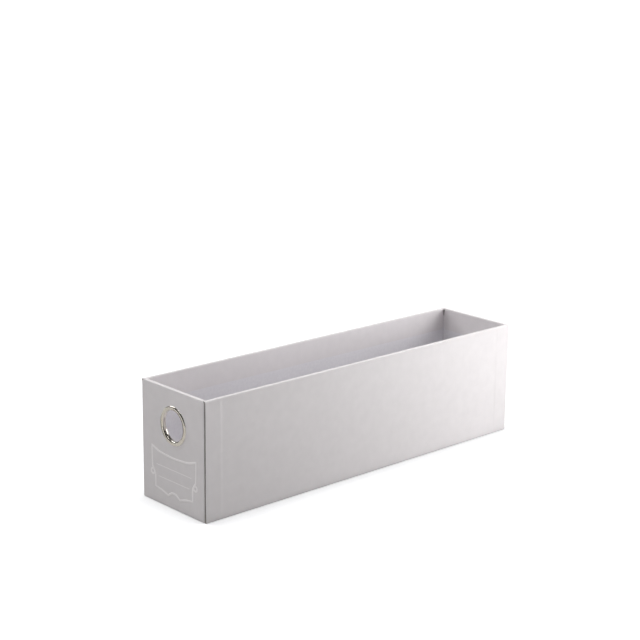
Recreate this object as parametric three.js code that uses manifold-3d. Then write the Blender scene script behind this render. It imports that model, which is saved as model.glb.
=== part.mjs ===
// Long open-topped storage box in paper-covered greyboard, with a metal finger-pull eyelet in one end.
// Millimetres, +Z up. The origin is the centre of the underside, the pull end faces -Y, and the
// left and right sides are those of someone who faces the pull end.

import * as THREE from 'three';
import { mergeVertices } from 'three/addons/utils/BufferGeometryUtils.js';
import Module from 'manifold-3d';

const wasm = await Module();
wasm.setup();

// Outside of the finished box, over its paper.
const boxWidth = 81;
const boxLength = 350;
const boxHeight = 100;

// The layers of a wall, from the outside in, and of the floor.
const wrapThickness = 0.25;
const stayThickness = 0.2;
const boardThickness = 2.1;
const liningThickness = 0.2;
const baseCoverThickness = 0.25;

// How far the wrap papers fold over the rim and under the base, and where they stop at the corners.
const turnIn = 20;
const turnUnder = 15;
const cornerGap = 0.35;
const seamGap = 1.8;
const innerCornerGap = 0.8;
const baseCoverMargin = 3;

// The top corners of each wall lining are clipped, which bares the board in the corners of the box.
const liningClipWidth = 1.6;
const liningClipHeight = 7;

// The gummed tape folded round each upright corner of the boards.
const stayLeg = 16;
const stayFootGap = 7;

// The finger pull: a rolled metal shell through the front wall, flared out over a washer inside.
const fingerHoleHeight = 70;
const boreRadius = 12.8;
const shellThickness = 0.4;
const flangeWidth = 2.6;
const flangeRise = 0.9;
const clinchBend = 2;
const clinchLip = 1;
const holeClearance = 0.15;
const washerThickness = 0.35;
const washerWidth = 2.2;
const washerClearance = 0.1;
const holeSides = 48;
const eyeletSides = 56;
const arcSteps = 8;

// Planes that the pieces share. An "Offset" is measured inwards from the outside of a wall.
const halfWidth = boxWidth / 2;
const halfLength = boxLength / 2;
const boardOuterOffset = wrapThickness + stayThickness;
const boardInnerOffset = boardOuterOffset + boardThickness;
const liningInnerOffset = boardInnerOffset + liningThickness;
const wallThickness = liningInnerOffset + wrapThickness;
const boardFoot = baseCoverThickness + wrapThickness;
const floorTop = boardFoot + boardThickness;
const boardTop = boxHeight - wrapThickness;

// The shell's barrel flares into its clinched lip inside the wall, and the hole clears the flare.
const washerFace = wallThickness + washerThickness;
const flareCentre = boreRadius + shellThickness + clinchBend;
const flareDepth = washerFace - clinchBend;
const flareInWall = Math.sqrt(clinchBend ** 2 - (wallThickness - flareDepth) ** 2);
const holeRadius = flareCentre - flareInWall + holeClearance;

const greyboard = new THREE.MeshStandardMaterial({ color: 0x8c8780, roughness: 0.95, metalness: 0 });
const coverPaper = new THREE.MeshStandardMaterial({ color: 0xe9e6e8, roughness: 0.55, metalness: 0 });
const liningPaper = new THREE.MeshStandardMaterial({ color: 0xe4e2e8, roughness: 0.8, metalness: 0 });
const stayPaper = new THREE.MeshStandardMaterial({ color: 0x9b9694, roughness: 0.9, metalness: 0 });
const nickel = new THREE.MeshStandardMaterial({ color: 0xcfcbc2, roughness: 0.18, metalness: 1 });

const box = new THREE.Group();

function addPiece(name, geometry, material) {
  const piece = new THREE.Mesh(geometry, material);
  piece.name = name;
  box.add(piece);
  return piece;
}

// A block between two values on each axis, given in either order.
function slab(xs, ys, zs) {
  const span = new THREE.Box3();
  span.expandByPoint(new THREE.Vector3(xs[0], ys[0], zs[0]));
  span.expandByPoint(new THREE.Vector3(xs[1], ys[1], zs[1]));
  const size = span.getSize(new THREE.Vector3());
  const centre = span.getCenter(new THREE.Vector3());
  const geometry = new THREE.BoxGeometry(size.x, size.y, size.z);
  geometry.translate(centre.x, centre.y, centre.z);
  return geometry;
}

function toSolid(geometry) {
  const bare = geometry.clone();
  bare.deleteAttribute('normal');
  bare.deleteAttribute('uv');
  const merged = mergeVertices(bare);
  const vertProperties = new Float32Array(merged.attributes.position.array);
  const triVerts = new Uint32Array(merged.index.array);
  return new wasm.Manifold(new wasm.Mesh({ numProp: 3, vertProperties, triVerts }));
}

function toGeometry(solid) {
  const mesh = solid.getMesh();
  const geometry = new THREE.BufferGeometry();
  geometry.setAttribute('position', new THREE.BufferAttribute(mesh.vertProperties, 3));
  geometry.setIndex(new THREE.BufferAttribute(mesh.triVerts, 1));
  geometry.computeVertexNormals();
  return geometry;
}

function join(geometries) {
  const solids = geometries.map(toSolid);
  return toGeometry(solids.reduce((whole, solid) => whole.add(solid)));
}

// Cuts the finger hole, whose axis lies along Y, through the front wall's layers.
function pierce(geometry) {
  const drillLength = 4 * wallThickness;
  const drill = new THREE.CylinderGeometry(holeRadius, holeRadius, drillLength, holeSides);
  drill.translate(0, -halfLength + wallThickness / 2, fingerHoleHeight);
  return toGeometry(toSolid(geometry).subtract(toSolid(drill)));
}

// Greyboard carcass. The side boards run the whole length, and the others fit between them.
function addBoards() {
  const sideOuter = halfWidth - boardOuterOffset;
  const sideInner = halfWidth - boardInnerOffset;
  const endOuter = halfLength - boardOuterOffset;
  const endInner = halfLength - boardInnerOffset;
  const wallZ = [boardFoot, boardTop];
  const base = slab([-sideInner, sideInner], [-endInner, endInner], [boardFoot, floorTop]);
  addPiece('base_board', base, greyboard);
  const front = slab([-sideInner, sideInner], [-endOuter, -endInner], wallZ);
  addPiece('front_board', pierce(front), greyboard);
  addPiece('rear_board', slab([-sideInner, sideInner], [endInner, endOuter], wallZ), greyboard);
  addPiece('left_board', slab([-sideOuter, -sideInner], [-endOuter, endOuter], wallZ), greyboard);
  addPiece('right_board', slab([sideInner, sideOuter], [-endOuter, endOuter], wallZ), greyboard);
}

// Corner stays: tape folded round the outside of the upright corners, in a layer under the wraps.
function addStay(name, sideSign, endSign) {
  const outerX = sideSign * (halfWidth - wrapThickness);
  const outerY = endSign * (halfLength - wrapThickness);
  const boardX = outerX - sideSign * stayThickness;
  const boardY = outerY - endSign * stayThickness;
  const z = [boardFoot + stayFootGap, boardTop];
  const sideLeg = slab([boardX, outerX], [outerY - endSign * stayLeg, outerY], z);
  const endLeg = slab([outerX - sideSign * stayLeg, outerX], [boardY, outerY], z);
  addPiece(name, join([sideLeg, endLeg]), stayPaper);
}

// Side wraps: each covers a long side, the rim above it, a band inside and a band under the base.
function addSideWrap(name, sign) {
  const outer = sign * halfWidth;
  const inner = sign * (halfWidth - wallThickness);
  const panelEnd = halfLength - cornerGap;
  const bandEnd = halfLength - wallThickness - innerCornerGap;
  const underEnd = halfLength - wrapThickness;
  const panel = slab(
    [outer, outer - sign * wrapThickness], [-panelEnd, panelEnd], [baseCoverThickness, boxHeight],
  );
  const rim = slab([outer, inner], [-halfLength, halfLength], [boardTop, boxHeight]);
  const band = slab(
    [inner, inner + sign * wrapThickness], [-bandEnd, bandEnd], [boxHeight - turnIn, boxHeight],
  );
  const under = slab(
    [outer, outer - sign * turnUnder], [-underEnd, underEnd], [baseCoverThickness, boardFoot],
  );
  addPiece(name, join([panel, rim, band, under]), coverPaper);
}

// End wraps: the same over each end, between the rim bands of the side wraps. The panel reaches one
// corner and stops short of the other, which is on the right of someone who faces that end.
function endWrap(sign) {
  const outer = sign * halfLength;
  const inner = sign * (halfLength - wallThickness);
  const panelStart = sign * (halfWidth - cornerGap);
  const panelEnd = -sign * (halfWidth - seamGap);
  const rimEnd = halfWidth - wallThickness;
  const bandEnd = rimEnd - innerCornerGap;
  const underEnd = halfWidth - turnUnder;
  const panel = slab(
    [panelStart, panelEnd], [outer, outer - sign * wrapThickness], [baseCoverThickness, boardTop],
  );
  const rim = slab([-rimEnd, rimEnd], [outer, inner], [boardTop, boxHeight]);
  const band = slab(
    [-bandEnd, bandEnd], [inner, inner + sign * wrapThickness], [boxHeight - turnIn, boxHeight],
  );
  const under = slab(
    [-underEnd, underEnd], [outer, outer - sign * turnUnder], [baseCoverThickness, boardFoot],
  );
  return join([panel, rim, band, under]);
}

// Base cover: one sheet on the underside that hides the edges of the turned-under bands.
function addBaseCover() {
  const x = halfWidth - baseCoverMargin;
  const y = halfLength - baseCoverMargin;
  addPiece('base_cover', slab([-x, x], [-y, y], [0, baseCoverThickness]), coverPaper);
}

// Linings: one sheet on each inner face of the boards, under the turned-in bands of the wraps.
function wallLining(xs, ys, clipAxis) {
  const clipFoot = boardTop - liningClipHeight;
  const clipped = ([low, high]) => [low + liningClipWidth, high - liningClipWidth];
  const lower = slab(xs, ys, [floorTop, clipFoot]);
  const upper = clipAxis === 'x'
    ? slab(clipped(xs), ys, [clipFoot, boardTop])
    : slab(xs, clipped(ys), [clipFoot, boardTop]);
  return join([lower, upper]);
}

function addLinings() {
  const sideBoard = halfWidth - boardInnerOffset;
  const sideFace = halfWidth - liningInnerOffset;
  const endBoard = halfLength - boardInnerOffset;
  const endFace = halfLength - liningInnerOffset;
  const across = [-sideFace, sideFace];
  const along = [-endBoard, endBoard];
  const floor = slab(across, [-endFace, endFace], [floorTop, floorTop + liningThickness]);
  addPiece('floor_lining', floor, liningPaper);
  addPiece('left_lining', wallLining([-sideBoard, -sideFace], along, 'y'), liningPaper);
  addPiece('right_lining', wallLining([sideFace, sideBoard], along, 'y'), liningPaper);
  addPiece('front_lining', pierce(wallLining(across, [-endBoard, -endFace], 'x')), liningPaper);
  addPiece('rear_lining', wallLining(across, [endFace, endBoard], 'x'), liningPaper);
}

// An arc of a profile as [radius, depth] points, where radii a and b are along each of the two.
function arc(centreRadius, centreDepth, a, b, fromDegrees, toDegrees) {
  const points = [];
  for (let step = 0; step <= arcSteps; step += 1) {
    const angle = THREE.MathUtils.degToRad(fromDegrees + ((toDegrees - fromDegrees) * step) / arcSteps);
    points.push(new THREE.Vector2(
      centreRadius + a * Math.cos(angle), centreDepth + b * Math.sin(angle),
    ));
  }
  return points;
}

// A ring turned about the finger hole's axis. Depth runs along +Y from the front of the box inwards.
function addRing(name, profile) {
  const closed = [...profile, profile[0].clone()];
  const ring = addPiece(name, new THREE.LatheGeometry(closed, eyeletSides), nickel);
  ring.position.set(0, -halfLength, fingerHoleHeight);
}

// Eyelet shell: domed flange outside, short barrel, and a wide flare that ends in a lip on the washer.
function addEyeletShell() {
  const domeHalf = flangeWidth / 2;
  const domeCentre = boreRadius + domeHalf;
  const innerHalf = domeHalf - shellThickness;
  const innerRise = flangeRise - shellThickness;
  const outerBend = clinchBend + shellThickness;
  const lipRadius = flareCentre + clinchLip;
  addRing('eyelet_shell', [
    ...arc(domeCentre, 0, innerHalf, innerRise, 0, -180),
    ...arc(flareCentre, flareDepth, clinchBend, clinchBend, 180, 90),
    new THREE.Vector2(lipRadius, washerFace),
    new THREE.Vector2(lipRadius, washerFace + shellThickness),
    ...arc(flareCentre, flareDepth, outerBend, outerBend, 90, 180),
    ...arc(domeCentre, 0, domeHalf, flangeRise, -180, 0),
  ]);
}

// Washer: a flat ring inside the front wall with its outer edge eased, which the lip clamps.
function addEyeletWasher() {
  const inner = flareCentre + washerClearance;
  const outer = inner + washerWidth;
  const ease = washerThickness / 2;
  const back = wallThickness;
  addRing('eyelet_washer', [
    new THREE.Vector2(inner, back),
    new THREE.Vector2(outer, back),
    new THREE.Vector2(outer, washerFace - ease),
    new THREE.Vector2(outer - ease, washerFace),
    new THREE.Vector2(inner, washerFace),
  ]);
}

addBoards();
addStay('stay_front_left', -1, -1);
addStay('stay_front_right', 1, -1);
addStay('stay_rear_left', -1, 1);
addStay('stay_rear_right', 1, 1);
addSideWrap('left_wrap', -1);
addSideWrap('right_wrap', 1);
addPiece('front_wrap', pierce(endWrap(-1)), coverPaper);
addPiece('rear_wrap', endWrap(1), coverPaper);
addBaseCover();
addLinings();
addEyeletShell();
addEyeletWasher();

export default box;
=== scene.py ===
"""Long open-topped file box: greyboard covered in satin paper, with a nickel finger-pull eyelet.

The file follows the box as it is made: boards, corner tapes, wraps, linings, eyelet, label print.
Metres, +Z up. The pull end faces -Y, and the origin is the centre of the underside.
"""

import math

import bpy
import bmesh
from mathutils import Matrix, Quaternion, Vector


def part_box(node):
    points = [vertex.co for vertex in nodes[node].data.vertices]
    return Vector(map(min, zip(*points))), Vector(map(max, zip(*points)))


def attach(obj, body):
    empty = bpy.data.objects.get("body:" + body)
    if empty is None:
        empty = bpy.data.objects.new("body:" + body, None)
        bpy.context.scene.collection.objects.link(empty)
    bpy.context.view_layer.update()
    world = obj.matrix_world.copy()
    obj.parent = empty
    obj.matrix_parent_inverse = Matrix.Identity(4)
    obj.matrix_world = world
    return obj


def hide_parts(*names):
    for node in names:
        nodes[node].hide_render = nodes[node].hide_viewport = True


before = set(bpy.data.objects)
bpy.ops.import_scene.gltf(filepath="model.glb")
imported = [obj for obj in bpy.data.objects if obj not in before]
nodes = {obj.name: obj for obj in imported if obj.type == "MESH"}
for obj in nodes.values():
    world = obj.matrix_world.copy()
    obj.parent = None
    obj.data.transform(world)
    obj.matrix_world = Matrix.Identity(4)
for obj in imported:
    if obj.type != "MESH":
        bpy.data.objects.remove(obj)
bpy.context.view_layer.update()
bpy.ops.object.select_all(action="DESELECT")

MM = 0.001


# ---------------------------------------------------------------- greyboard carcass
# Five boards of solid greyboard, pulped from waste paper and calendered, glued edge to edge.
# They are cut with a guillotine, so the faces are smooth and dull and the edges show layers.


def linear(hex_colour):
    """An sRGB colour such as "8C8780" as the linear RGBA that a shader takes."""
    levels = [int(hex_colour[i : i + 2], 16) / 255 for i in (0, 2, 4)]
    return [v / 12.92 if v <= 0.04045 else ((v + 0.055) / 1.055) ** 2.4 for v in levels] + [1.0]


def add_node(tree, kind, settings=None, inputs=None):
    """Adds one node, sets its properties, and fills or links its inputs."""
    node = tree.nodes.new(kind)
    for name, value in (settings or {}).items():
        setattr(node, name, value)
    for name, value in (inputs or {}).items():
        if isinstance(value, bpy.types.NodeSocket):
            tree.links.new(value, node.inputs[name])
        else:
            node.inputs[name].default_value = value
    return node


def start_material(name):
    """An empty node material and its node tree."""
    material = bpy.data.materials.new(name)
    material.use_nodes = True
    material.node_tree.nodes.clear()
    return material, material.node_tree


def own_coordinates(tree):
    """The piece's own coordinates in metres, so a scale of 1000 is a pattern of about 1 mm."""
    return add_node(tree, "ShaderNodeTexCoord").outputs["Object"]


def finish_material(tree, shader):
    """Links the finished shader to the material's surface."""
    add_node(tree, "ShaderNodeOutputMaterial", inputs={"Surface": shader.outputs[0]})


def set_ramp(node, stops):
    """Gives a colour ramp these (position, linear colour) stops."""
    ramp = node.color_ramp
    while len(ramp.elements) < len(stops):
        ramp.elements.new(0.5)
    for element, (position, colour) in zip(ramp.elements, stops):
        element.position = position
        element.color = colour


def dress(piece, material):
    """Puts one material on all of a piece."""
    piece.data.materials.clear()
    piece.data.materials.append(material)


def greyboard_material():
    """Grey recycled pulp, dull, with clouds about 17 mm across and fibre flecks about 1 mm long that
    are darker and lighter than the rest and stand a little proud."""
    material, tree = start_material("greyboard_recycled_pulp")
    place = own_coordinates(tree)
    cloud = add_node(tree, "ShaderNodeTexNoise", inputs={"Vector": place, "Scale": 60.0, "Detail": 5.0})
    fleck = add_node(tree, "ShaderNodeTexNoise", inputs={"Vector": place, "Scale": 900.0, "Detail": 3.0})
    mixed = add_node(
        tree,
        "ShaderNodeMath",
        {"operation": "MULTIPLY_ADD"},
        {0: fleck.outputs["Fac"], 1: 0.6, 2: cloud.outputs["Fac"]},
    )
    colour = add_node(tree, "ShaderNodeValToRGB", inputs={"Fac": mixed.outputs["Value"]})
    set_ramp(colour, [(0.55, linear("7C7771")), (0.8, linear("918C85")), (1.0, linear("A8A39C"))])
    bump = add_node(
        tree,
        "ShaderNodeBump",
        inputs={"Height": fleck.outputs["Fac"], "Strength": 0.35, "Distance": 0.05 * MM},
    )
    shader = add_node(
        tree,
        "ShaderNodeBsdfPrincipled",
        inputs={"Base Color": colour.outputs["Color"], "Roughness": 0.92, "Normal": bump.outputs["Normal"]},
    )
    shader.inputs["IOR"].default_value = 1.45
    finish_material(tree, shader)
    return material


greyboard = greyboard_material()
for board in ("base_board", "front_board", "rear_board", "left_board", "right_board"):
    dress(nodes[board], greyboard)


# ---------------------------------------------------------------- corner stays
# Gummed paper tape folded round the four upright corners of the boards, damp-set and dull.
# It shows as a thin line beside each corner, where an end wrap stops short of it.


def gummed_tape_material():
    """Grey-brown machine-made tape paper with a slightly shiny gum. Its fibres run along the strip,
    0.7 mm wide and eight times as long, coarser than real ones so that they show."""
    material, tree = start_material("gummed_paper_tape")
    place = own_coordinates(tree)
    drawn = add_node(tree, "ShaderNodeMapping", inputs={"Vector": place, "Scale": (1.0, 1.0, 0.12)})
    fibre = add_node(
        tree,
        "ShaderNodeTexNoise",
        inputs={"Vector": drawn.outputs["Vector"], "Scale": 1400.0, "Detail": 4.0},
    )
    colour = add_node(tree, "ShaderNodeValToRGB", inputs={"Fac": fibre.outputs["Fac"]})
    set_ramp(colour, [(0.35, linear("8A8583")), (0.65, linear("9F9A97"))])
    bump = add_node(
        tree,
        "ShaderNodeBump",
        inputs={"Height": fibre.outputs["Fac"], "Strength": 0.3, "Distance": 0.03 * MM},
    )
    shader = add_node(
        tree,
        "ShaderNodeBsdfPrincipled",
        inputs={"Base Color": colour.outputs["Color"], "Roughness": 0.7, "Normal": bump.outputs["Normal"]},
    )
    shader.inputs["IOR"].default_value = 1.48
    finish_material(tree, shader)
    return material


gummed_tape = gummed_tape_material()
for end in ("front", "rear"):
    for side in ("left", "right"):
        dress(nodes[f"stay_{end}_{side}"], gummed_tape)


# ---------------------------------------------------------------- wraps
# Satin-coated white paper, glued round each wall: up the outside, over the rim, 20 mm down the
# inside and 15 mm under the base. Its folds are round, and its outside swells over the tapes.

rim_low, rim_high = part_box("right_wrap")
front_low, front_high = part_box("front_wrap")
stay_low, stay_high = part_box("stay_front_right")
half_width = rim_high.x
half_length = rim_high.y
top = rim_high.z
under = rim_low.z
turn_under = rim_high.x - rim_low.x
tape_leg = stay_high.y - stay_low.y
paper = 0.25 * MM
wall = half_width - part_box("right_lining")[0].x + paper
band_depth = 20 * MM
fold_radius = 0.7 * MM


def cover_paper_material():
    """Coated wood-free paper, machine-finished to a satin: a warm white that turns faintly pink,
    mottled every 8 mm, with soft broad reflections, a very fine tooth, and the board's waviness of
    about 36 mm under it. The tooth is 0.5 mm, coarser than the real 0.1 mm, so that it shows. The
    rim and the foot are rubbed grey in spots of 2 mm."""
    material, tree = start_material("satin_coated_cover_paper")
    place = own_coordinates(tree)
    tooth = add_node(tree, "ShaderNodeTexNoise", inputs={"Vector": place, "Scale": 2000.0, "Detail": 4.0})
    mottle = add_node(tree, "ShaderNodeTexNoise", inputs={"Vector": place, "Scale": 130.0, "Detail": 6.0})
    wave = add_node(tree, "ShaderNodeTexNoise", inputs={"Vector": place, "Scale": 28.0, "Detail": 2.0})
    tone = add_node(tree, "ShaderNodeValToRGB", inputs={"Fac": mottle.outputs["Fac"]})
    set_ramp(tone, [(0.3, linear("DDD9DA")), (0.7, linear("E1DDDE"))])
    height = add_node(tree, "ShaderNodeSeparateXYZ", inputs={"Vector": place})
    near_rim = add_node(
        tree,
        "ShaderNodeMapRange",
        inputs={"Value": height.outputs["Z"], "From Min": top - 0.9 * MM, "From Max": top + 0.1 * MM},
    )
    near_foot = add_node(
        tree,
        "ShaderNodeMapRange",
        inputs={"Value": height.outputs["Z"], "From Min": 2.2 * MM, "From Max": 0.2 * MM},
    )
    edge = add_node(
        tree,
        "ShaderNodeMath",
        {"operation": "MAXIMUM"},
        {0: near_foot.outputs["Result"], 1: near_rim.outputs["Result"]},
    )
    scuff = add_node(tree, "ShaderNodeTexNoise", inputs={"Vector": place, "Scale": 420.0, "Detail": 8.0})
    rubbed = add_node(
        tree,
        "ShaderNodeMapRange",
        inputs={"Value": scuff.outputs["Fac"], "From Min": 0.56, "From Max": 0.72, "To Max": 0.3},
    )
    wear = add_node(
        tree,
        "ShaderNodeMath",
        {"operation": "MULTIPLY"},
        {0: edge.outputs["Value"], 1: rubbed.outputs["Result"]},
    )
    colour = add_node(
        tree,
        "ShaderNodeMix",
        {"data_type": "RGBA"},
        {"Factor": wear.outputs["Value"], "A": tone.outputs["Color"], "B": linear("B4AFAE")},
    )
    gloss = add_node(
        tree,
        "ShaderNodeMapRange",
        inputs={"Value": mottle.outputs["Fac"], "To Min": 0.43, "To Max": 0.53},
    )
    slow = add_node(
        tree,
        "ShaderNodeBump",
        inputs={"Height": wave.outputs["Fac"], "Strength": 0.08, "Distance": 0.8 * MM},
    )
    bump = add_node(
        tree,
        "ShaderNodeBump",
        inputs={
            "Height": tooth.outputs["Fac"],
            "Strength": 0.16,
            "Distance": 0.03 * MM,
            "Normal": slow.outputs["Normal"],
        },
    )
    shader = add_node(
        tree,
        "ShaderNodeBsdfPrincipled",
        inputs={
            "Base Color": colour.outputs["Result"],
            "Roughness": gloss.outputs["Result"],
            "Normal": bump.outputs["Normal"],
        },
    )
    shader.inputs["IOR"].default_value = 1.5
    finish_material(tree, shader)
    return material


cover_paper = cover_paper_material()


def select_edges(piece, wanted):
    """In edit mode, selects only the edges whose middle passes the test."""
    bpy.ops.mesh.select_mode(type="EDGE")
    bpy.ops.mesh.select_all(action="DESELECT")
    shape = bmesh.from_edit_mesh(piece.data)
    for edge in shape.edges:
        if wanted((edge.verts[0].co + edge.verts[1].co) / 2):
            edge.select = True
    shape.select_flush(True)
    bmesh.update_edit_mesh(piece.data)


def cut_across(point, normal):
    """In edit mode, adds a line of edges all the way across the sheet at a plane."""
    bpy.ops.mesh.select_all(action="SELECT")
    bpy.ops.mesh.bisect(plane_co=point, plane_no=normal)


def apply_modifiers(piece):
    """Makes the piece active and applies its modifiers in order."""
    bpy.context.view_layer.objects.active = piece
    for modifier in list(piece.modifiers):
        bpy.ops.object.modifier_apply(modifier=modifier.name)


def fold_wrap(name, ends, height_cuts, span_cuts):
    """One wrap, made flat at x = 0 facing +X and folded as the paper is: a panel that stands from
    the base to the rim, folded over the rim and down inside, and folded under the base. Its two
    ends are places along Y. The paper's thickness serves as the tolerance when an edge or a point
    is picked out by its place, here and in the next functions."""
    bpy.ops.mesh.primitive_plane_add(
        size=1,
        location=(0, sum(ends) / 2, (top + under) / 2),
        rotation=(0, math.pi / 2, 0),
    )
    sheet = bpy.context.object
    sheet.name = name
    sheet.data.name = name
    sheet.scale = (top - under, ends[1] - ends[0], 1)
    bpy.ops.object.transform_apply(location=True, rotation=True, scale=True)
    bpy.ops.object.mode_set(mode="EDIT")
    select_edges(sheet, lambda middle: middle.z > top - paper)
    bpy.ops.mesh.extrude_region_move(TRANSFORM_OT_translate={"value": (-wall, 0, 0)})
    bpy.ops.mesh.extrude_region_move(TRANSFORM_OT_translate={"value": (0, 0, -band_depth)})
    select_edges(sheet, lambda middle: middle.z < under + paper and middle.x > -paper)
    bpy.ops.mesh.extrude_region_move(TRANSFORM_OT_translate={"value": (-turn_under, 0, 0)})
    for z in height_cuts:
        cut_across((0, 0, z), (0, 0, 1))
    for y in span_cuts:
        cut_across((0, y, 0), (0, 1, 0))
    bpy.ops.object.mode_set(mode="OBJECT")
    return sheet


# Each end of the turned-in band is slotted next to the rim and clipped at its foot, so that the
# bands of two walls can meet in the corner.
slot_depth = 8 * MM
slot_gap = 0.9 * MM
band_gap = 0.1 * MM
clip_width = 2.6 * MM
slot_foot = top - slot_depth
clip_top = top - band_depth + 2.5 * MM


def shape_wrap(sheet, ends, rim_span, band_span, under_span):
    """Moves the ends of each strip of the folded sheet to where the real paper is cut."""
    for vertex in sheet.data.vertices:
        place = vertex.co
        if ends[0] + paper < place.y < ends[1] - paper:
            continue
        side = math.copysign(1, place.y)
        if place.x < -wall + paper and place.z > top - band_depth - paper:
            if place.z > top - paper:
                place.y = side * rim_span
            elif place.z > slot_foot + paper:
                place.y = side * (band_span - slot_gap)
            elif place.z > clip_top - paper:
                place.y = side * (band_span - band_gap)
            else:
                place.y = side * (band_span - clip_width)
        elif place.z > top - paper:
            place.y = side * rim_span
        elif place.z < under + paper and place.x < -paper:
            place.y = side * under_span


# Over the corner tapes a side panel swells out. The swelling is full between these two heights,
# and is gone at the rim and near the foot.
swell_top = top - 2 * MM
swell_foot = under + 7 * MM
flat_foot = under + 4 * MM
tape_slope = 2.8 * MM
tape_lift = 0.2 * MM


def swell_over_tapes(sheet, end):
    """Sets the panel back by the tape's thickness between the corner tapes, with a slope at each
    tape's edge."""
    for vertex in sheet.data.vertices:
        place = vertex.co
        if place.x < -paper or not swell_foot - paper < place.z < swell_top + paper:
            continue
        inside = (abs(place.y) - (end - tape_leg - tape_slope / 2)) / tape_slope
        inside = min(max(inside, 0), 1)
        place.x -= tape_lift * (1 - inside * inside * (3 - 2 * inside))


def close_seams():
    """Merges the active piece's doubled points and turns its faces outwards."""
    bpy.ops.object.mode_set(mode="EDIT")
    bpy.ops.mesh.select_all(action="SELECT")
    bpy.ops.mesh.remove_doubles(threshold=0.001 * MM)
    bpy.ops.mesh.normals_make_consistent(inside=False)
    bpy.ops.object.mode_set(mode="OBJECT")


def finish_wrap(sheet, turn, shift):
    """Rounds the folds, gives the sheet its thickness inwards, and sets it on its wall."""
    bpy.context.view_layer.objects.active = sheet
    sheet.select_set(True)
    folds = sheet.modifiers.new("folds", "BEVEL")
    folds.width = fold_radius
    folds.segments = 4
    folds.limit_method = "ANGLE"
    folds.angle_limit = math.radians(40)
    thick = sheet.modifiers.new("paper", "SOLIDIFY")
    thick.thickness = paper
    thick.offset = -1
    thick.use_even_offset = True
    apply_modifiers(sheet)
    close_seams()
    sheet.rotation_euler = (0, 0, turn)
    sheet.location = shift
    bpy.ops.object.transform_apply(location=True, rotation=True, scale=True)
    bpy.ops.object.shade_smooth_by_angle(angle=math.radians(35))
    dress(sheet, cover_paper)
    sheet.select_set(False)


def mirror_steps(limit, steps):
    """Cut lines at each of these distances in from both ends of a strip."""
    return [sign * (limit - step) for step in steps for sign in (-1, 1)]


slope_steps = [step * MM for step in (-1.4, -1.0, -0.5, 0.0, 0.5, 1.0, 1.4)]
tape_steps = [tape_leg + step for step in (-tape_slope, *slope_steps, tape_slope)]
wrap_heights = [swell_top, slot_foot, clip_top, flat_foot, swell_foot]
corner_gap = 0.35 * MM
side_end = half_length - corner_gap
long_step = 40 * MM
side_span_cuts = mirror_steps(half_length, tape_steps + [long_step, 2 * long_step, 3 * long_step])
end_span_cuts = mirror_steps(half_width, tape_steps)

for side, turn, sign in (("right", 0, 1), ("left", math.pi, -1)):
    sheet = fold_wrap(f"{side}_cover_sheet", (-side_end, side_end), wrap_heights, side_span_cuts)
    shape_wrap(sheet, (-side_end, side_end), half_length, half_length - wall, half_length - paper)
    swell_over_tapes(sheet, half_length)
    finish_wrap(sheet, turn, (sign * half_width, 0, 0))
    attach(sheet, "root")
    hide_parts(f"{side}_wrap")

end_inside = half_width - wall
end_foot = half_width - turn_under
end_sheets = {}
for end, turn, sign in (("front", -math.pi / 2, -1), ("rear", math.pi / 2, 1)):
    sheet = fold_wrap(f"{end}_cover_sheet", (front_low.x, front_high.x), wrap_heights, end_span_cuts)
    shape_wrap(sheet, (front_low.x, front_high.x), end_inside, end_inside, end_foot)
    finish_wrap(sheet, turn, (0, sign * half_length, 0))
    end_sheets[end] = sheet

# The finger hole is punched through the front wrap after it is glued down.
eyelet_low, eyelet_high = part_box("eyelet_shell")
finger_height = (eyelet_low.z + eyelet_high.z) / 2
board_hole = 14.3 * MM
punch_length = 8 * wall
bpy.ops.mesh.primitive_cylinder_add(
    vertices=96,
    radius=board_hole,
    depth=punch_length,
    location=(0, -half_length, finger_height),
    rotation=(math.pi / 2, 0, 0),
)
punch = bpy.context.object
front_sheet = end_sheets["front"]
hole = front_sheet.modifiers.new("punched hole", "BOOLEAN")
hole.operation = "DIFFERENCE"
hole.object = punch
hole.solver = "EXACT"
apply_modifiers(front_sheet)
bpy.data.objects.remove(punch)
for end, sheet in end_sheets.items():
    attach(sheet, "root")
    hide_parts(f"{end}_wrap")

# The base cover is the same paper, laid flat over the turned-under edges.
dress(nodes["base_cover"], cover_paper)


# ---------------------------------------------------------------- linings
# Uncoated white lining paper on the inner faces of the boards: whiter and bluer than the cover,
# matt, with a visible fibre. The wraps' turned-in bands lie over its upper edge.


def lining_paper_material():
    """Uncoated bleached paper with optical brightener, which reads as a cold lavender white. The
    fibre clumps are about 2 mm, and the tooth is drawn at 0.6 mm so that it shows."""
    material, tree = start_material("uncoated_lining_paper")
    place = own_coordinates(tree)
    clump = add_node(tree, "ShaderNodeTexNoise", inputs={"Vector": place, "Scale": 450.0, "Detail": 5.0})
    tooth = add_node(tree, "ShaderNodeTexNoise", inputs={"Vector": place, "Scale": 1600.0, "Detail": 3.0})
    colour = add_node(tree, "ShaderNodeValToRGB", inputs={"Fac": clump.outputs["Fac"]})
    set_ramp(colour, [(0.3, linear("DFDDE1")), (0.7, linear("E5E3E6"))])
    bump = add_node(
        tree,
        "ShaderNodeBump",
        inputs={"Height": tooth.outputs["Fac"], "Strength": 0.3, "Distance": 0.04 * MM},
    )
    shader = add_node(
        tree,
        "ShaderNodeBsdfPrincipled",
        inputs={"Base Color": colour.outputs["Color"], "Roughness": 0.85, "Normal": bump.outputs["Normal"]},
    )
    shader.inputs["IOR"].default_value = 1.45
    finish_material(tree, shader)
    return material


lining_paper = lining_paper_material()
for lining in ("floor_lining", "left_lining", "right_lining", "front_lining", "rear_lining"):
    dress(nodes[lining], lining_paper)


# ---------------------------------------------------------------- eyelet
# A finger-pull eyelet drawn from nickel-plated steel strip: a rolled flange outside, and a short
# barrel that the press flares out, through the wall, into a lip over a flat washer inside.


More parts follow.
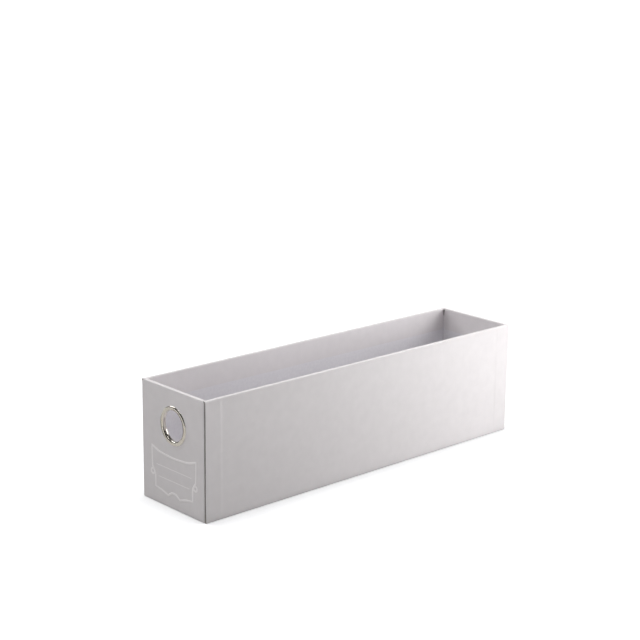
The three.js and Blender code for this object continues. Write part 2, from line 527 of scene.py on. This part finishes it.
def nickel_material():
    """Bright nickel plate, slightly warm, polished by tumbling: a haze in patches of 4 mm, and rub
    marks of 0.3 mm, wider than real ones so that they show."""
    material, tree = start_material("tumbled_nickel_plate")
    place = own_coordinates(tree)
    haze = add_node(tree, "ShaderNodeTexNoise", inputs={"Vector": place, "Scale": 260.0, "Detail": 4.0})
    rub = add_node(tree, "ShaderNodeTexNoise", inputs={"Vector": place, "Scale": 3500.0, "Detail": 2.0})
    gloss = add_node(
        tree,
        "ShaderNodeMapRange",
        inputs={
            "Value": haze.outputs["Fac"],
            "From Min": 0.3,
            "From Max": 0.7,
            "To Min": 0.14,
            "To Max": 0.24,
        },
    )
    tint = add_node(tree, "ShaderNodeValToRGB", inputs={"Fac": haze.outputs["Fac"]})
    set_ramp(tint, [(0.3, linear("D2CCC2")), (0.7, linear("DAD6CE"))])
    bump = add_node(
        tree,
        "ShaderNodeBump",
        inputs={"Height": rub.outputs["Fac"], "Strength": 0.08, "Distance": 0.01 * MM},
    )
    shader = add_node(
        tree,
        "ShaderNodeBsdfPrincipled",
        inputs={
            "Base Color": tint.outputs["Color"],
            "Roughness": gloss.outputs["Result"],
            "Normal": bump.outputs["Normal"],
        },
    )
    shader.inputs["Metallic"].default_value = 1.0
    finish_material(tree, shader)
    return material


def draw_ring(name, profile):
    """A ring about the finger hole's axis, drawn from one loop that is pushed along a profile of
    (radius, depth behind the front face) points."""
    radius, depth = profile[0]
    bpy.ops.mesh.primitive_circle_add(
        vertices=128,
        radius=radius,
        location=(0, depth - half_length, finger_height),
        rotation=(math.pi / 2, 0, 0),
    )
    ring = bpy.context.object
    ring.name = name
    ring.data.name = name
    bpy.ops.object.transform_apply(location=True, rotation=True, scale=True)
    bpy.ops.object.mode_set(mode="EDIT")
    for next_radius, next_depth in profile[1:]:
        bpy.ops.mesh.extrude_region_move(TRANSFORM_OT_translate={"value": (0, next_depth - depth, 0)})
        grow = next_radius / radius
        bpy.ops.transform.resize(
            value=(grow, 1, grow),
            center_override=(0, next_depth - half_length, finger_height),
        )
        radius, depth = next_radius, next_depth
    bpy.ops.object.mode_set(mode="OBJECT")
    return ring


def bend(centre_radius, centre_depth, width, rise, start, stop, steps):
    """Profile points round a bend this wide and this high, between two angles in degrees."""
    points = []
    for i in range(steps + 1):
        angle = math.radians(start + (stop - start) * i / steps)
        points.append((centre_radius + width * math.cos(angle), centre_depth + rise * math.sin(angle)))
    return points


nickel = nickel_material()
bore = 12.8 * MM
flange_width = eyelet_high.x - bore
flange_rise = -half_length - eyelet_low.y
shell_back = eyelet_high.y + half_length
shell_metal = 0.4 * MM
lip_bend = 2.4 * MM
lip_radius = 16.2 * MM
shell_profile = (
    bend(bore + flange_width / 2, 0, flange_width / 2, flange_rise, 0, -180, 20)
    + bend(bore + lip_bend, shell_back - lip_bend, lip_bend, lip_bend, 180, 90, 12)
    + [(lip_radius, shell_back)]
)
shell = draw_ring("finger_pull_shell", shell_profile)
metal = shell.modifiers.new("metal", "SOLIDIFY")
metal.thickness = shell_metal
metal.offset = -1
metal.use_even_offset = True
soft = shell.modifiers.new("soft edges", "BEVEL")
soft.width = 0.12 * MM
soft.segments = 2
soft.limit_method = "ANGLE"
soft.angle_limit = math.radians(50)
apply_modifiers(shell)
bpy.ops.object.shade_smooth_by_angle(angle=math.radians(50))
dress(shell, nickel)
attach(shell, "root")
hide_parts("eyelet_shell")

washer_low, washer_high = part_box("eyelet_washer")
washer_radius = washer_high.x
washer_bore = 15.3 * MM
washer_front = washer_low.y + half_length
washer_back = washer_high.y + half_length
ease = 0.15 * MM
washer_profile = [
    (washer_bore, washer_front),
    (washer_radius, washer_front),
    *bend(washer_radius - ease, washer_back - ease, ease, ease, 0, 90, 4),
    *bend(washer_bore + ease, washer_back - ease, ease, ease, 90, 180, 4),
    (washer_bore, washer_front),
]
washer = draw_ring("finger_pull_washer", washer_profile)
close_seams()
bpy.ops.object.shade_smooth_by_angle(angle=math.radians(40))
dress(washer, nickel)
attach(washer, "root")
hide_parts("eyelet_washer")


# ---------------------------------------------------------------- label print
# A plain plaque outline with two writing lines, screen-printed on the pull end in thick pearl
# white ink. The ink stands a few hundredths of a millimetre proud and is glossier than the paper.


def pearl_ink_material():
    """Screen ink with micaceous flakes: brighter than the paper, satin, with a faint painted glint,
    brighter dots in its colour. The flakes are 0.3 mm, coarser than real ones so that they show."""
    material, tree = start_material("pearl_white_screen_ink")
    place = own_coordinates(tree)
    # Painted glint: brighter dots in the ink's colour stand for the flakes' sparkle.
    painted_glint_dots = add_node(tree, "ShaderNodeTexVoronoi", {"feature": "F1"}, {"Vector": place, "Scale": 3000.0})
    colour = add_node(tree, "ShaderNodeValToRGB", inputs={"Fac": painted_glint_dots.outputs["Distance"]})
    set_ramp(colour, [(0.1, linear("FAF7F7")), (0.7, linear("F0ECED"))])
    shader = add_node(tree, "ShaderNodeBsdfPrincipled", inputs={"Base Color": colour.outputs["Color"]})
    shader.inputs["Roughness"].default_value = 0.3
    shader.inputs["IOR"].default_value = 1.52
    finish_material(tree, shader)
    return material


def ink_stroke(name, points, width, closed):
    """One printed line, this wide, through (across, height) points in millimetres."""
    curve = bpy.data.curves.new(name, "CURVE")
    curve.dimensions = "3D"
    curve.bevel_depth = width / 2
    curve.bevel_resolution = 3
    curve.use_fill_caps = not closed
    line = curve.splines.new("POLY")
    line.points.add(len(points) - 1)
    for point, (across, height) in zip(line.points, points):
        point.co = (across * MM, 0, height * MM, 1)
    line.use_cyclic_u = closed
    stroke = bpy.data.objects.new(name, curve)
    bpy.context.scene.collection.objects.link(stroke)
    return stroke


def circle_points(across, height, radius, steps):
    """Points all the way round a circle on the pull end, in millimetres."""
    angles = [math.radians(360 * i / steps) for i in range(steps)]
    return [(across + radius * math.cos(angle), height + radius * math.sin(angle)) for angle in angles]


def smooth_run(knots, steps=8):
    """Catmull-Rom points through the knots, so that a swept line has no corners."""
    padded = [knots[0], *knots, knots[-1]]
    run = []
    for span in zip(padded, padded[1:], padded[2:], padded[3:]):
        for i in range(steps):
            t = i / steps
            point = [
                0.5
                * (
                    2 * start
                    + (stop - before) * t
                    + (2 * before - 5 * start + 4 * stop - after) * t * t
                    + (3 * start - before - 3 * stop + after) * t * t * t
                )
                for before, start, stop, after in zip(*span)
            ]
            run.append(tuple(point))
    return [*run, knots[-1]]


# The outline's right half, in millimetres across from the middle and up from the foot. Its top
# sags, its side curls in past a small ring, and its foot steps up towards the middle.
half_frame = [
    *smooth_run([(0, 42.9), (11.5, 43.5), (19.5, 44.5), (28.3, 47.3)]),
    (28.0, 30.5),
    *smooth_run([(27.6, 29.4), (25.5, 26.6), (24.1, 23.4), (23.8, 19.0)]),
    (24.0, 13.8),
    *smooth_run([(15.8, 12.4), (7.4, 10.0)], 4),
    *smooth_run([(6.0, 11.2), (2.7, 13.1), (0, 13.3)]),
]
other_half = [(-across, height) for across, height in reversed(half_frame[1:-1])]
curl_across = 27.4
curl_height = 25.4
curl_radius = 2.1
ink_line = 1.8 * MM
rule_line = 0.5 * MM
strokes = [ink_stroke("plaque_outline", half_frame + other_half, ink_line, True)]
for sign in (-1, 1):
    curl = circle_points(sign * curl_across, curl_height, curl_radius, 24)
    strokes.append(ink_stroke("plaque_curl", curl, ink_line, True))
for height, reach in ((32.8, 22.5), (23.2, 19.8)):
    strokes.append(ink_stroke("writing_line", [(-reach, height), (reach, height)], rule_line, False))

ink = pearl_ink_material()
ink_height = 0.06 * MM
bpy.ops.object.select_all(action="DESELECT")
for stroke in strokes:
    stroke.select_set(True)
bpy.context.view_layer.objects.active = strokes[0]
bpy.ops.object.convert(target="MESH")
for stroke in strokes:
    flatten = ink_height / max(vertex.co.y for vertex in stroke.data.vertices)
    for vertex in stroke.data.vertices:
        vertex.co.y = vertex.co.y * flatten - half_length
bpy.ops.object.join()
print_frame = bpy.context.object
print_frame.name = "label_frame_print"
print_frame.data.name = "label_frame_print"
bpy.ops.object.shade_smooth()
dress(print_frame, ink)
print_frame.select_set(False)
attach(print_frame, "root")


# ---------------------------------------------------------------- studio
# A plain white floor and backdrop. Broad lights come from above, the left, the rear and the
# front, and soft boxes stand at the far right, so the long side grows lighter towards the rear.
# The floor and its cards lie in layers a few thousandths of a millimetre apart, under the box.

floor_size = 60
floor_level = -0.01 * MM
grey_card_level = -0.005 * MM
pale_card_level = -0.003 * MM
black_flag_level = -0.001 * MM
card_size = 1.6
backdrop_radius = 12


def floor_material():
    """Matt white studio paper, faintly lit from below, which keeps soft shadows pale. Its clouds are
    about 125 mm across."""
    material, tree = start_material("studio_paper")
    place = own_coordinates(tree)
    grain = add_node(tree, "ShaderNodeTexNoise", inputs={"Vector": place, "Scale": 8.0})
    colour = add_node(tree, "ShaderNodeValToRGB", inputs={"Fac": grain.outputs["Fac"]})
    set_ramp(colour, [(0.3, linear("F5F5F6")), (0.7, linear("F7F7F8"))])
    shader = add_node(tree, "ShaderNodeBsdfPrincipled", inputs={"Base Color": colour.outputs["Color"]})
    shader.inputs["Roughness"].default_value = 1.0
    shader.inputs["Specular IOR Level"].default_value = 0.0
    shader.inputs["Emission Color"].default_value = linear("FFFFFF")
    shader.inputs["Emission Strength"].default_value = 0.16
    finish_material(tree, shader)
    return material


def card_material(name, colour):
    """Matt card of one colour, with no sheen."""
    material, tree = start_material(name)
    shader = add_node(tree, "ShaderNodeBsdfPrincipled", inputs={"Base Color": linear(colour)})
    shader.inputs["Roughness"].default_value = 1.0
    shader.inputs["Specular IOR Level"].default_value = 0.0
    finish_material(tree, shader)
    return material


bpy.ops.mesh.primitive_plane_add(size=floor_size, location=(0, 0, floor_level))
floor = bpy.context.object
floor.name = "studio_floor"
dress(floor, floor_material())


def backdrop_material():
    """Evenly lit white cloth, far away on every side."""
    material, tree = start_material("lit_white_backdrop")
    glow = add_node(tree, "ShaderNodeEmission", inputs={"Color": linear("FFFFFF")})
    finish_material(tree, glow)
    return material


bpy.ops.mesh.primitive_uv_sphere_add(segments=48, ring_count=24, radius=backdrop_radius)
backdrop = bpy.context.object
backdrop.name = "studio_backdrop"
dress(backdrop, backdrop_material())
backdrop.visible_diffuse = False
backdrop.visible_glossy = False
backdrop.visible_shadow = False


# A grey card lies under and around the box, as studios lay one to keep the floor's white off the
# sides of a pale product. It is hidden from the camera and from the nickel.
bpy.ops.mesh.primitive_plane_add(size=card_size, location=(0, 0, grey_card_level))
card = bpy.context.object
card.name = "studio_grey_card"
dress(card, card_material("studio_card", "949494"))
card.visible_camera = False
card.visible_glossy = False
card.visible_shadow = False


def reflector(name, place, width, depth, colour):
    """A matt card laid on the floor for the nickel to reflect. Nothing else sees it."""
    bpy.ops.mesh.primitive_plane_add(size=1, location=place)
    sheet = bpy.context.object
    sheet.name = name
    sheet.scale = (width, depth, 1)
    bpy.ops.object.transform_apply(location=True, rotation=True, scale=True)
    dress(sheet, card_material(f"{name}_paper", colour))
    sheet.visible_camera = False
    sheet.visible_diffuse = False
    sheet.visible_shadow = False


reflector("pale_card", (0, 0, pale_card_level), card_size, card_size, "D4D2CE")
reflector("black_flag", (-0.24, -0.14, black_flag_level), 0.22, 0.26, "101010")


def aim_at(thing, place, target):
    """Stands a light at a place and turns it to look at a point."""
    thing.location = place
    thing.rotation_euler = (Vector(target) - Vector(place)).to_track_quat("-Z", "Y").to_euler()


def soft_box(name, place, target, width, height, power):
    """A white rectangular soft box. Its height is measured up the light's own plane."""
    bpy.ops.object.light_add(type="AREA")
    lamp = bpy.context.object
    lamp.name = name
    lamp.data.shape = "RECTANGLE"
    lamp.data.size = width
    lamp.data.size_y = height
    lamp.data.energy = power
    lamp.visible_camera = False
    aim_at(lamp, place, target)


def broad_light(name, place, strength, width, seen_in_metal=True):
    """A very distant soft source, this many degrees wide, that lights the whole floor evenly."""
    bpy.ops.object.light_add(type="SUN")
    lamp = bpy.context.object
    lamp.name = name
    lamp.data.energy = strength
    lamp.data.angle = math.radians(width)
    lamp.visible_glossy = seen_in_metal
    aim_at(lamp, place, (0, 0, 0))


broad_light("overhead", (0, 0, 2), 1.63, 30)
broad_light("left_light", (-1, -0.2, 0.8), 1.5, 30)
broad_light("rear_light", (0.3, 1, 0.4), 1.2, 30)
broad_light("front_fill", (-0.3, -1, 0.35), 0.95, 40, seen_in_metal=False)
soft_box("key_soft_box", (0.5, 0.38, 0.24), (0, 0, 0.08), 0.3, 0.25, 1.9)
soft_box("rear_soft_box", (0.25, 0.47, 0.52), (0, 0, 0.1), 0.4, 0.4, 0.47)
soft_box("far_side_foot", (0.24, 0.25, 0.06), (0.04, 0.25, 0.06), 0.25, 0.12, 0.17)

world = bpy.data.worlds.new("studio_room")
bpy.context.scene.world = world
world.use_nodes = True
world.node_tree.nodes["Background"].inputs["Color"].default_value = linear("F2F0F4")
world.node_tree.nodes["Background"].inputs["Strength"].default_value = 0.03

camera_data = bpy.data.cameras.new("camera")
camera_data.lens = 89.853
camera_data.sensor_width = 36
camera_data.clip_end = 100
camera = bpy.data.objects.new("camera", camera_data)
bpy.context.scene.collection.objects.link(camera)
camera.location = (0.9514, -0.89409, 0.4753)
azimuth = math.radians(47.428)
elevation = math.radians(14.986)
roll = math.radians(0.658)
along_floor = math.cos(elevation)
aim = Vector((-math.sin(azimuth) * along_floor, math.cos(azimuth) * along_floor, -math.sin(elevation)))
level_view = aim.to_track_quat("-Z", "Y")
camera.rotation_mode = "XYZ"
camera.rotation_euler = (level_view @ Quaternion((0, 0, 1), roll)).to_euler()
bpy.context.scene.camera = camera

bpy.context.scene.view_settings.view_transform = "Standard"
